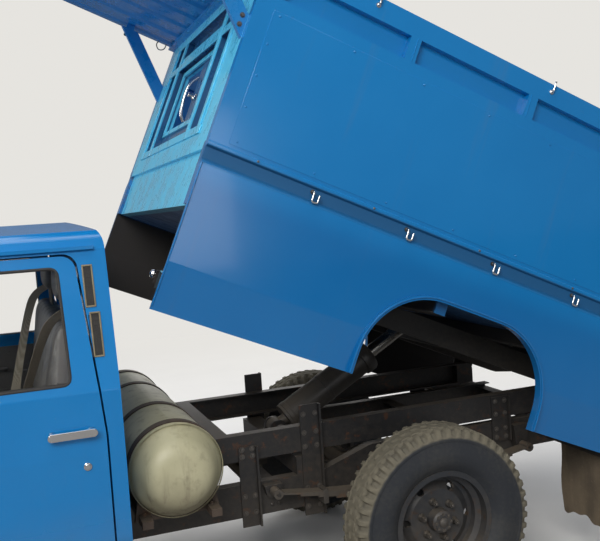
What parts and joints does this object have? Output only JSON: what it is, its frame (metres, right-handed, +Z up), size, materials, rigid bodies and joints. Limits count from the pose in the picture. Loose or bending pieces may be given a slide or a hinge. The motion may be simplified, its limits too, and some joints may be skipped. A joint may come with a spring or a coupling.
{
  "type": "dump truck",
  "caption": "Small bonneted truck with a box bed tipped up on a hydraulic ram, a gas cylinder across the frame behind the cab, and opening doors, hood and gates.",
  "frame": {"origin": "on the ground under the middle of the whole truck's bounding box, with the bed raised", "axes": "+X forward along the truck, +Y to the driver's left, +Z up"},
  "size_m": [5.1346, 2.1142, 3.0305],
  "materials": {
    "body_blue": "glossy",
    "chassis_dark": "satin",
    "cylinder_cream": "satin",
    "rim_dark": "satin",
    "engine_iron": "satin",
    "bright_chrome": "polished",
    "exhaust_steel": "satin",
    "tyre_rubber": "matte",
    "flap_rubber": "matte",
    "clear_glass": "polished",
    "lamp_glass": "polished",
    "lamp_red": "glossy",
    "seat_vinyl": "satin",
    "dash_plastic": "matte"
  },
  "bodies": {
    "chassis": {"frame_rails": "chassis_dark", "crossmembers": "chassis_dark", "hoist_rails": "chassis_dark", "tow_eyes": "chassis_dark", "leaf_springs": "chassis_dark", "rear_axle": "chassis_dark", "front_axle": "chassis_dark", "engine_block": "engine_iron", "driveline": "chassis_dark", "exhaust": "exhaust_steel", "fuel_tank": "chassis_dark", "gas_cylinder": "cylinder_cream", "cylinder_cradle": "chassis_dark", "cab_body": "body_blue", "cab_roof": "body_blue", "cab_glass": "clear_glass", "front_wings": "body_blue", "grille_panel": "body_blue", "headlamps": "lamp_glass", "radiator": "chassis_dark", "front_bumper": "bright_chrome", "dashboard": "dash_plastic", "bench_seat": "seat_vinyl", "steering_column": "chassis_dark", "mud_flaps": "flap_rubber", "rear_lamps": "lamp_red"},
    "bed": {"bed_frame": "body_blue", "bed_floor": "body_blue", "bed_side_left": "body_blue", "bed_side_right": "body_blue", "bed_front_wall": "body_blue", "box_side_left": "body_blue", "box_side_right": "body_blue", "tail_frame": "body_blue", "visor": "body_blue", "rope_hooks": "bright_chrome"},
    "tailgate": {"tailgate": "body_blue"},
    "upper_gate": {"upper_gate": "body_blue"},
    "hood": {"hood": "body_blue"},
    "door_left": {"door_left": "body_blue", "quarter_glass_left": "clear_glass", "door_fittings_left": "bright_chrome"},
    "door_right": {"door_right": "body_blue", "quarter_glass_right": "clear_glass", "door_fittings_right": "bright_chrome"},
    "knuckle_left": {"knuckle_left": "chassis_dark"},
    "knuckle_right": {"knuckle_right": "chassis_dark"},
    "tie_rod": {"tie_rod": "chassis_dark"},
    "steering_wheel": {"steering_wheel": "dash_plastic"},
    "hoist_barrel": {"hoist_barrel": "chassis_dark"},
    "hoist_rod": {"hoist_rod": "bright_chrome"},
    "wheel_front_left": {"rim_front_left": "rim_dark", "tyre_front_left": "tyre_rubber"},
    "wheel_front_right": {"rim_front_right": "rim_dark", "tyre_front_right": "tyre_rubber"},
    "wheel_rear_left": {"rim_rear_left": "rim_dark", "tyre_rear_left": "tyre_rubber"},
    "wheel_rear_right": {"rim_rear_right": "rim_dark", "tyre_rear_right": "tyre_rubber"}
  },
  "joints": [
    {"name": "bed_tilt", "type": "hinge", "parent": "chassis", "child": "bed", "pos_m": [-1.77573, 0, 0.75], "axis": [0, -1, 0], "range_deg": [-23.5, 16.5]},
    {"name": "hoist_barrel_turn", "type": "hinge", "parent": "chassis", "child": "hoist_barrel", "pos_m": [-0.51273, 0, 0.7], "axis": [0, 1, 0], "range_deg": [-12.94, 9.09]},
    {"name": "hoist_rod_slide", "type": "slide", "parent": "hoist_barrel", "child": "hoist_rod", "axis": [-0.8698, 0, 0.4934], "range_m": [-0.2022, 0.142]},
    {"name": "tailgate_swing", "type": "hinge", "parent": "bed", "child": "tailgate", "pos_m": [-2.16948, 0, 0.81542], "axis": [0, -1, 0], "range_deg": [0, 90]},
    {"name": "upper_gate_swing", "type": "hinge", "parent": "bed", "child": "upper_gate", "pos_m": [-2.51519, 0, 1.61051], "axis": [0, 1, 0], "range_deg": [0, 60]},
    {"name": "hood_lift", "type": "hinge", "parent": "chassis", "child": "hood", "pos_m": [1.44257, 0, 1.131], "axis": [0, -1, 0], "range_deg": [0, 50]},
    {"name": "door_left_swing", "type": "hinge", "parent": "chassis", "child": "door_left", "pos_m": [1.32227, 0.849, 1], "axis": [0, 0, -1], "range_deg": [0, 65]},
    {"name": "door_right_swing", "type": "hinge", "parent": "chassis", "child": "door_right", "pos_m": [1.32227, -0.849, 1], "axis": [0, 0, 1], "range_deg": [0, 65]},
    {"name": "steer_left", "type": "hinge", "parent": "chassis", "child": "knuckle_left", "pos_m": [1.83727, 0.6, 0.395], "axis": [0, 0, 1], "range_deg": [-28, 28]},
    {"name": "steer_right", "type": "hinge", "parent": "chassis", "child": "knuckle_right", "pos_m": [1.83727, -0.6, 0.395], "axis": [0, 0, 1], "range_deg": [-28.01, 28.01]},
    {"name": "tie_rod_slide", "type": "slide", "parent": "chassis", "child": "tie_rod", "axis": [0, -1, 0], "range_m": [-0.0783, 0.0783]},
    {"name": "steering_wheel_turn", "type": "hinge", "parent": "chassis", "child": "steering_wheel", "pos_m": [0.97227, 0.375, 1.12], "axis": [-0.7431, 0, 0.6691], "range_deg": [-336.1, 336.1]},
    {"name": "wheel_front_left_spin", "type": "hinge", "parent": "knuckle_left", "child": "wheel_front_left", "pos_m": [1.83727, 0.695, 0.395], "axis": [0, 1, 0], "continuous": true},
    {"name": "wheel_front_right_spin", "type": "hinge", "parent": "knuckle_right", "child": "wheel_front_right", "pos_m": [1.83727, -0.695, 0.395], "axis": [0, 1, 0], "continuous": true},
    {"name": "wheel_rear_left_spin", "type": "hinge", "parent": "chassis", "child": "wheel_rear_left", "pos_m": [-0.96273, 0.7, 0.395], "axis": [0, 1, 0], "continuous": true},
    {"name": "wheel_rear_right_spin", "type": "hinge", "parent": "chassis", "child": "wheel_rear_right", "pos_m": [-0.96273, -0.7, 0.395], "axis": [0, 1, 0], "continuous": true}
  ],
  "couplings": [
    {"joint": "hoist_barrel_turn", "follows": "bed_tilt", "ratio": 0.55},
    {"joint": "hoist_rod_slide", "follows": "bed_tilt", "m_per_rad": 0.49274},
    {"joint": "steer_right", "follows": "steer_left", "ratio": 1},
    {"joint": "tie_rod_slide", "follows": "steer_left", "m_per_rad": 0.16},
    {"joint": "steering_wheel_turn", "follows": "steer_left", "ratio": 12}
  ]
}
